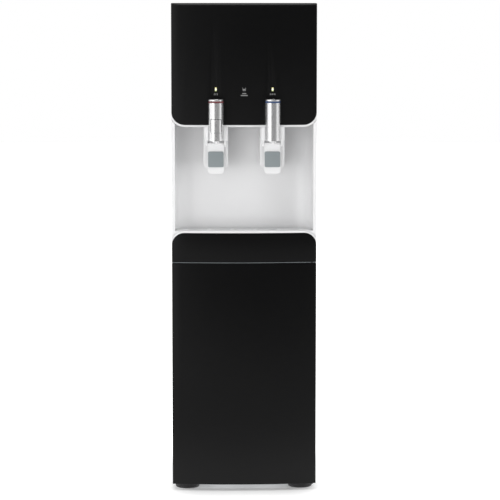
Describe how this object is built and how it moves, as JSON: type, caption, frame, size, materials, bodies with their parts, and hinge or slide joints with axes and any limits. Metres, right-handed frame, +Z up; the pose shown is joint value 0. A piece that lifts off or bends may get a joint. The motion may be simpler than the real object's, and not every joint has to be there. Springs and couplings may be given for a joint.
{
  "type": "bottleless water cooler",
  "caption": "Free-standing plumbed-in water cooler with a dispensing alcove, cup-push hot and cold taps, a drip tray and a filter door.",
  "frame": {"origin": "centre of the object's footprint at floor level", "axes": "+Z up, +X to the right seen from the front, the front faces -Y"},
  "size_m": [0.308, 0.3482, 1.043],
  "materials": {
    "white_steel": "satin powder coat",
    "white_plastic": "satin moulded",
    "black_plastic": "satin black",
    "galvanised_steel": "galvanised sheet",
    "stainless_steel": "drawn stainless",
    "silver_metal": "satin silver",
    "red_ring": "gloss",
    "blue_ring": "gloss",
    "grey_rubber": "matt",
    "black_rubber": "matt",
    "lens": "lit lens",
    "board_green": "solder mask",
    "foam": "foam",
    "copper": "drawn copper",
    "black_metal": "black enamel",
    "blue_plastic": "moulded",
    "filter_plastic": "moulded",
    "tube_plastic": "extruded",
    "red_rocker": "gloss",
    "green_rocker": "gloss"
  },
  "bodies": {
    "cabinet": {"base_pan": "galvanised_steel", "side_panel_left": "white_steel", "side_panel_right": "white_steel", "rear_panel": "white_steel", "top_lid": "black_plastic", "inner_frame": "galvanised_steel", "tank_shelf": "galvanised_steel", "front_fascia": "black_plastic", "fascia_frame": "white_plastic", "alcove_panel": "white_plastic", "ledge_front": "black_plastic", "door_hinges": "black_metal", "hot_tap_base": "white_plastic", "cold_tap_base": "white_plastic", "hot_tap_barrel": "silver_metal", "cold_tap_barrel": "silver_metal", "hot_tap_ring": "red_ring", "cold_tap_ring": "blue_ring", "tap_caps": "silver_metal", "tap_nozzles": "white_plastic", "tap_valves": "white_plastic", "paddle_pins": "stainless_steel", "hot_spring": "stainless_steel", "cold_spring": "stainless_steel", "indicator_lenses": "lens", "control_board": "board_green", "cold_tank": "stainless_steel", "tank_jackets": "foam", "evaporator_coil": "copper", "hot_tank": "stainless_steel", "compressor": "black_metal", "compressor_grommets": "black_rubber", "condenser": "black_metal", "refrigerant_lines": "copper", "filter_head": "blue_plastic", "inlet_fitting": "white_plastic", "inlet_valve": "white_plastic", "water_tubes": "tube_plastic", "power_inlet": "black_plastic", "switch_frames": "black_plastic", "drain_fitting": "white_plastic"},
    "door": {"front_door": "black_plastic"},
    "tray": {"drip_tray": "white_plastic"},
    "grille": {"drip_grille": "white_plastic"},
    "hot_lever": {"hot_paddle": "white_plastic", "hot_pad": "grey_rubber"},
    "cold_lever": {"cold_paddle": "white_plastic", "cold_pad": "grey_rubber"},
    "hot_stem": {"hot_plunger": "white_plastic"},
    "cold_stem": {"cold_plunger": "white_plastic"},
    "lock_button": {"child_lock": "silver_metal"},
    "hot_rocker": {"hot_switch_rocker": "red_rocker"},
    "cold_rocker": {"cold_switch_rocker": "green_rocker"},
    "left_filter": {"filter_left": "filter_plastic"},
    "right_filter": {"filter_right": "filter_plastic"},
    "drain_plug": {"drain_cap": "black_plastic"},
    "front_left_foot": {"foot_front_left": "black_rubber"},
    "front_right_foot": {"foot_front_right": "black_rubber"},
    "rear_left_foot": {"foot_rear_left": "black_rubber"},
    "rear_right_foot": {"foot_rear_right": "black_rubber"}
  },
  "joints": [
    {"name": "door_swing", "type": "hinge", "parent": "cabinet", "child": "door", "pos_m": [0.144, -0.13291, 0.25], "axis": [0, 0, 1], "range_deg": [0, 110]},
    {"name": "tray_lift", "type": "slide", "parent": "cabinet", "child": "tray", "axis": [0, 0, 1], "range_m": [0, 0.06]},
    {"name": "grille_lift", "type": "slide", "parent": "tray", "child": "grille", "axis": [0, 0, 1], "range_m": [0, 0.05]},
    {"name": "hot_paddle_press", "type": "hinge", "parent": "cabinet", "child": "hot_lever", "pos_m": [-0.06, -0.13491, 0.745], "axis": [1, 0, 0], "range_deg": [0, 8], "stiffness_Nm_per_rad": 0.4, "springref_deg": -5.73},
    {"name": "hot_stem_push", "type": "slide", "parent": "cabinet", "child": "hot_stem", "axis": [0, 1, 0], "range_m": [0, 0.0045], "deforming": ["hot_spring"]},
    {"name": "cold_paddle_press", "type": "hinge", "parent": "cabinet", "child": "cold_lever", "pos_m": [0.06, -0.13491, 0.745], "axis": [1, 0, 0], "range_deg": [0, 8], "stiffness_Nm_per_rad": 0.4, "springref_deg": -5.73},
    {"name": "cold_stem_push", "type": "slide", "parent": "cabinet", "child": "cold_stem", "axis": [0, 1, 0], "range_m": [0, 0.0045], "deforming": ["cold_spring"]},
    {"name": "child_lock_press", "type": "slide", "parent": "cabinet", "child": "lock_button", "axis": [0, 1, 0], "range_m": [0, 0.0025], "stiffness_N_per_m": 400, "springref_m": -0.002},
    {"name": "hot_switch_rock", "type": "hinge", "parent": "cabinet", "child": "hot_rocker", "pos_m": [-0.04, 0.15009, 0.325], "axis": [1, 0, 0], "range_deg": [0, 14]},
    {"name": "cold_switch_rock", "type": "hinge", "parent": "cabinet", "child": "cold_rocker", "pos_m": [0.04, 0.15009, 0.325], "axis": [1, 0, 0], "range_deg": [0, 14]},
    {"name": "left_filter_turn", "type": "hinge", "parent": "cabinet", "child": "left_filter", "pos_m": [-0.045, -0.05991, 0.44], "axis": [0, 0, 1], "range_deg": [0, 90]},
    {"name": "right_filter_turn", "type": "hinge", "parent": "cabinet", "child": "right_filter", "pos_m": [0.045, -0.05991, 0.44], "axis": [0, 0, 1], "range_deg": [0, 90]},
    {"name": "drain_cap_turn", "type": "hinge", "parent": "cabinet", "child": "drain_plug", "pos_m": [-0.078, 0.16209, 0.072], "axis": [0, 1, 0], "continuous": true},
    {"name": "front_left_foot_turn", "type": "hinge", "parent": "cabinet", "child": "front_left_foot", "pos_m": [-0.122, -0.09391, 0.012], "axis": [0, 0, 1], "continuous": true},
    {"name": "front_right_foot_turn", "type": "hinge", "parent": "cabinet", "child": "front_right_foot", "pos_m": [0.122, -0.09391, 0.012], "axis": [0, 0, 1], "continuous": true},
    {"name": "rear_left_foot_turn", "type": "hinge", "parent": "cabinet", "child": "rear_left_foot", "pos_m": [-0.122, 0.11609, 0.012], "axis": [0, 0, 1], "continuous": true},
    {"name": "rear_right_foot_turn", "type": "hinge", "parent": "cabinet", "child": "rear_right_foot", "pos_m": [0.122, 0.11609, 0.012], "axis": [0, 0, 1], "continuous": true}
  ],
  "couplings": [
    {"joint": "hot_stem_push", "follows": "hot_paddle_press", "m_per_rad": 0.0315},
    {"joint": "cold_stem_push", "follows": "cold_paddle_press", "m_per_rad": 0.0315}
  ]
}
